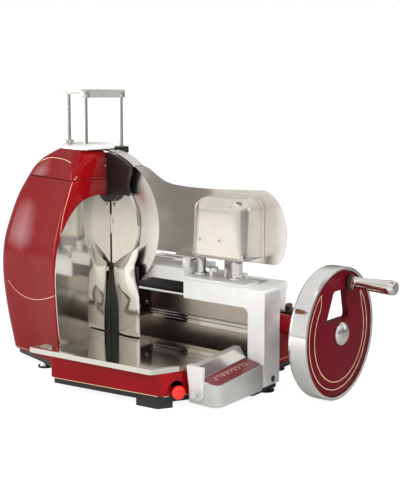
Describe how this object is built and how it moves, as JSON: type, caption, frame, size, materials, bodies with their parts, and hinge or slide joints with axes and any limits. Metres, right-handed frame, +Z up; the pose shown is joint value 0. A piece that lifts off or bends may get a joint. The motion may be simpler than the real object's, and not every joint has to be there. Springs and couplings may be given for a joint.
{
  "type": "hand crank meat slicer",
  "caption": "Hand cranked rotary meat slicer: flywheel on the right drives a round blade beside a red drive housing, with a sliding meat carriage, clamp and slice tray.",
  "frame": {"origin": "middle of the bottom of the machine's box, on the surface that it stands on", "axes": "+Z up, +X from the drive housing to the flywheel, +Y away from the person who takes the slices"},
  "size_m": [0.899, 0.4556, 0.621],
  "materials": {
    "red_enamel": "deep gloss enamel",
    "black_enamel": "satin",
    "mirror_steel": "polished",
    "steel": "ground",
    "chrome": "bright",
    "cast_aluminium": "satin, sand blasted",
    "red_plastic": "gloss",
    "scale_red": "gloss",
    "brown_knob": "polished dark brown",
    "stone": "abrasive",
    "rubber": "matt"
  },
  "bodies": {
    "root": {"drive_housing": "red_enamel", "housing_top_cover": "red_enamel", "housing_back_plate": "cast_aluminium", "hub_cover": "mirror_steel", "slice_deflector": "mirror_steel", "sharpener_rim": "mirror_steel", "sharpener_cover": "black_enamel", "blade_ring_guard": "mirror_steel", "wall_plate": "mirror_steel", "plate_screw_1": "chrome", "plate_screw_2": "chrome", "plate_screw_3": "chrome", "base_plinth": "black_enamel", "main_base": "red_enamel", "front_box": "red_enamel", "slice_tray": "mirror_steel", "wall_panel": "mirror_steel", "rail_strip": "steel", "front_rail": "chrome", "rear_rail": "chrome", "rail_guard": "black_enamel", "thickness_block": "cast_aluminium", "scale_plate": "scale_red", "lever_bracket": "cast_aluminium", "foot_front_left": "chrome", "foot_rear_left": "chrome", "foot_rear_right": "chrome", "foot_right": "chrome", "foot_front": "rubber", "gear_case": "red_enamel", "housing_cap": "cast_aluminium"},
    "flywheel": {"flywheel_shaft": "steel", "flywheel_rim": "chrome", "flywheel_disc": "red_enamel", "flywheel_hub": "chrome", "crank_pin": "chrome"},
    "grip": {"crank_grip": "chrome"},
    "cross_drive": {"cross_shaft": "steel", "drive_gear": "steel"},
    "idler": {"idler_gear": "steel"},
    "blade_spindle": {"blade": "mirror_steel", "blade_shaft": "steel", "blade_nut": "chrome", "blade_pinion": "steel"},
    "carriage": {"carriage_frame": "cast_aluminium"},
    "feed": {"feed_table": "cast_aluminium", "column_right": "chrome", "column_left": "chrome", "fence": "mirror_steel"},
    "clamp": {"clamp_hood": "mirror_steel"},
    "meat_lever": {"clamp_lever": "chrome"},
    "lift": {"front_rod": "chrome", "rear_rod": "chrome", "left_rod": "chrome", "lift_strap": "steel"},
    "stone_a": {"front_stone": "stone"},
    "stone_b": {"rear_stone": "stone"},
    "release": {"release_knob": "red_plastic"},
    "thickness": {"thickness_knob": "chrome"},
    "lock": {"lock_lever": "brown_knob"}
  },
  "joints": [
    {"name": "flywheel_spin", "type": "hinge", "parent": "root", "child": "flywheel", "pos_m": [0.34652, 0.08982, 0.137], "axis": [1, 0, 0], "continuous": true},
    {"name": "grip_spin", "type": "hinge", "parent": "flywheel", "child": "grip", "pos_m": [0.34652, 0.12368, 0.23533], "axis": [1, 0, 0], "continuous": true},
    {"name": "cross_spin", "type": "hinge", "parent": "root", "child": "cross_drive", "pos_m": [-0.29648, 0.08982, 0.137], "axis": [0, 1, 0], "continuous": true},
    {"name": "idler_spin", "type": "hinge", "parent": "root", "child": "idler", "pos_m": [-0.26266, -0.10918, 0.26615], "axis": [0, 1, 0], "continuous": true},
    {"name": "blade_spin", "type": "hinge", "parent": "root", "child": "blade_spindle", "pos_m": [-0.21148, 0.00282, 0.323], "axis": [0, 1, 0], "continuous": true},
    {"name": "carriage_slide", "type": "slide", "parent": "root", "child": "carriage", "axis": [1, 0, 0], "range_m": [-0.3, 0]},
    {"name": "feed_slide", "type": "slide", "parent": "carriage", "child": "feed", "axis": [0, 1, 0], "range_m": [0, 0.06]},
    {"name": "clamp_slide", "type": "slide", "parent": "feed", "child": "clamp", "axis": [0, 0, 1], "range_m": [-0.02, 0.06]},
    {"name": "clamp_lever_turn", "type": "hinge", "parent": "feed", "child": "meat_lever", "pos_m": [-0.00248, 0.06082, 0.252], "axis": [0, 1, 0], "range_deg": [0, 60]},
    {"name": "sharpener_lift", "type": "slide", "parent": "root", "child": "lift", "axis": [0, 0, 1], "range_m": [-0.02, 0]},
    {"name": "front_stone_spin", "type": "hinge", "parent": "lift", "child": "stone_a", "pos_m": [-0.20848, -0.00468, 0.468], "axis": [0, 1, 0], "continuous": true},
    {"name": "rear_stone_spin", "type": "hinge", "parent": "lift", "child": "stone_b", "pos_m": [-0.20848, 0.01062, 0.468], "axis": [0, 1, 0], "continuous": true},
    {"name": "release_push", "type": "slide", "parent": "root", "child": "release", "axis": [-0.8462, 0.5328, 0], "range_m": [0, 0.004], "stiffness_N_per_m": 400},
    {"name": "thickness_turn", "type": "hinge", "parent": "root", "child": "thickness", "pos_m": [0.16952, -0.15218, 0.038], "axis": [0, 1, 0], "range_deg": [0, 300]},
    {"name": "lock_turn", "type": "hinge", "parent": "root", "child": "lock", "pos_m": [0.16352, 0.17582, 0.098], "axis": [1, 0, 0], "range_deg": [-80, 0]}
  ],
  "couplings": [
    {"joint": "cross_spin", "follows": "flywheel_spin", "ratio": 1},
    {"joint": "idler_spin", "follows": "flywheel_spin", "ratio": -1.2821},
    {"joint": "blade_spin", "follows": "flywheel_spin", "ratio": 4.1667}
  ]
}
